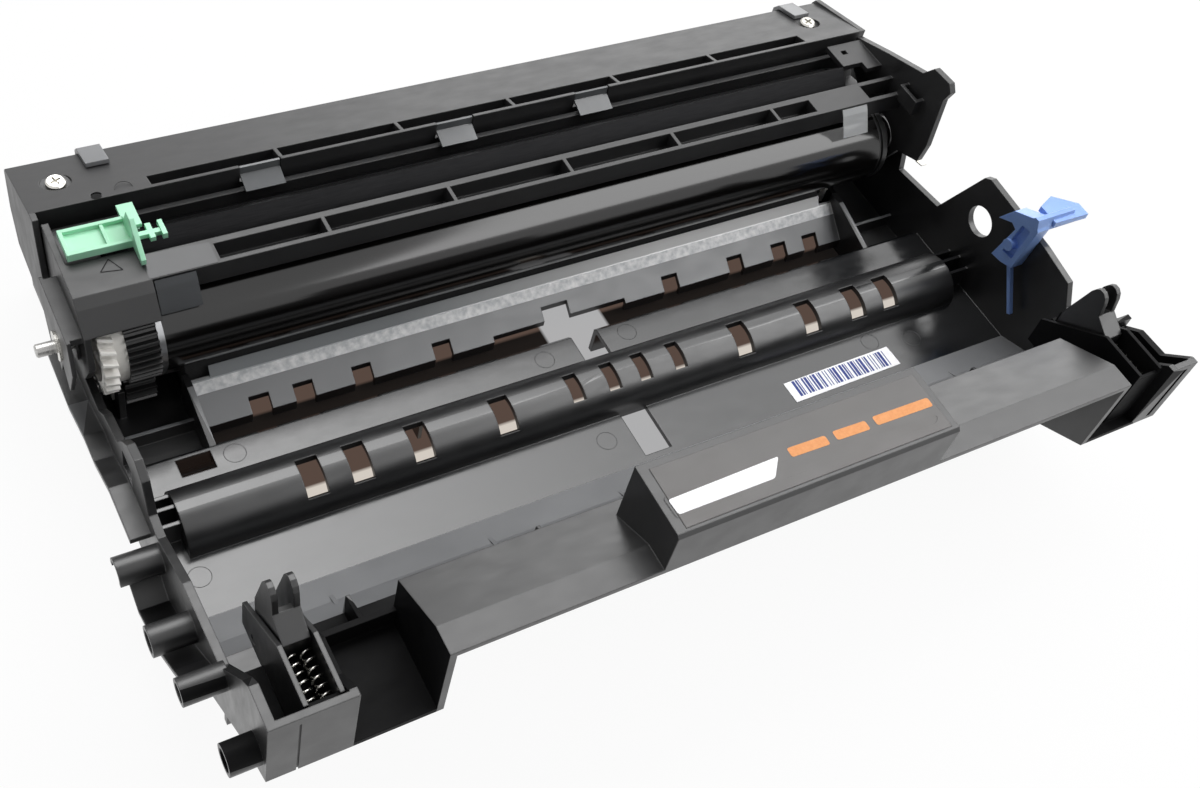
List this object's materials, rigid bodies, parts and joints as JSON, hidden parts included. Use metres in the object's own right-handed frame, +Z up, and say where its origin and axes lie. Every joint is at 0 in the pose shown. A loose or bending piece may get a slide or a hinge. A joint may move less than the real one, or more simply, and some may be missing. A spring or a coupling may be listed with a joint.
{
  "type": "printer drum unit",
  "caption": "Laser printer drum unit: open toner bay with handle bar, photoconductor drum with gears, transfer roller, corona charger with green wire cleaner and blue release lever.",
  "frame": {"origin": "middle of the whole unit at the level of the surface it stands on", "axes": "+X along the drum from the gear end to the contact end, +Y from the handle towards the rear cover, +Z up"},
  "size_m": [0.3312, 0.2058, 0.0883],
  "materials": {
    "frame_black": "moulded black ABS, glossy inside, fine matt outside",
    "cover_black": "moulded black ABS with a fine matt texture",
    "drum_coat": "glossy dark organic coating on an aluminium tube",
    "gear_black": "black polyacetal",
    "gear_white": "natural white polyacetal",
    "steel": "ground steel",
    "zinc": "zinc plated steel",
    "sheet_metal": "stamped stainless sheet",
    "tungsten": "thin drawn wire",
    "foam": "dark conductive foam",
    "mint_green": "mint green moulded plastic",
    "lever_blue": "sky blue moulded plastic",
    "clear_film": "clear glossy film",
    "smoky_film": "smoky clear film",
    "tape": "mottled adhesive tape",
    "label_film": "thin matt label film",
    "label_paper": "white coated label paper",
    "bristle": "short dark fibre"
  },
  "bodies": {
    "unit": {"main_frame": "frame_black", "drum_housing": "cover_black", "rear_cover": "cover_black", "cover_strap_left": "cover_black", "cover_strap_right": "cover_black", "cover_screws": "zinc", "window_clips": "clear_film", "drum_shaft": "steel", "shaft_bush_left": "gear_black", "shaft_bush_right": "gear_black", "shaft_clip": "zinc", "roller_bearing_left": "gear_white", "roller_bearing_right": "gear_white", "charger_shield": "sheet_metal", "charger_grid": "sheet_metal", "wire_anchor_left": "gear_black", "wire_anchor_right": "gear_black", "corona_wire": "tungsten", "lever_springs_left": "zinc", "lever_springs_right": "zinc", "guide_film": "clear_film", "adhesive_tape": "tape", "film_flap_left": "smoky_film", "film_flap_right": "clear_film", "contact_spring": "zinc", "brush_holder": "frame_black", "brush_bristles": "bristle", "front_label": "label_film", "serial_label": "label_paper"},
    "drum": {"drum_tube": "drum_coat", "drum_gear": "gear_black", "drive_gear": "gear_white", "drum_end_flange": "gear_black"},
    "transfer_roller": {"transfer_roller_shaft": "steel", "transfer_roller_sleeve": "foam", "transfer_roller_gear": "gear_black"},
    "cleaner": {"wire_cleaner": "mint_green"},
    "release": {"release_lever": "lever_blue"},
    "press_left": {"press_lever_left": "frame_black"},
    "press_right": {"press_lever_right": "frame_black"}
  },
  "joints": [
    {"name": "drum_spin", "type": "hinge", "parent": "unit", "child": "drum", "pos_m": [0.0058, 0.04475, 0.0359], "axis": [1, 0, 0], "continuous": true},
    {"name": "roller_spin", "type": "hinge", "parent": "unit", "child": "transfer_roller", "pos_m": [0.0058, 0.04475, 0.0131], "axis": [1, 0, 0], "continuous": true},
    {"name": "cleaner_slide", "type": "slide", "parent": "unit", "child": "cleaner", "axis": [1, 0, 0], "range_m": [0, 0.24]},
    {"name": "release_push", "type": "hinge", "parent": "unit", "child": "release", "pos_m": [0.1458, -0.02845, 0.05], "axis": [1, 0, 0], "range_deg": [0, 18], "stiffness_Nm_per_rad": 0.05, "springref_deg": -11.46},
    {"name": "press_left_swing", "type": "hinge", "parent": "unit", "child": "press_left", "pos_m": [-0.1384, -0.06895, 0.046], "axis": [1, 0, 0], "range_deg": [0, 11], "stiffness_Nm_per_rad": 0.22, "springref_deg": -8.59, "deforming": ["lever_springs_left"]},
    {"name": "press_right_swing", "type": "hinge", "parent": "unit", "child": "press_right", "pos_m": [0.1354, -0.06895, 0.046], "axis": [1, 0, 0], "range_deg": [0, 11], "stiffness_Nm_per_rad": 0.22, "springref_deg": -8.59, "deforming": ["lever_springs_right"]}
  ],
  "couplings": [
    {"joint": "roller_spin", "follows": "drum_spin", "ratio": -2}
  ]
}
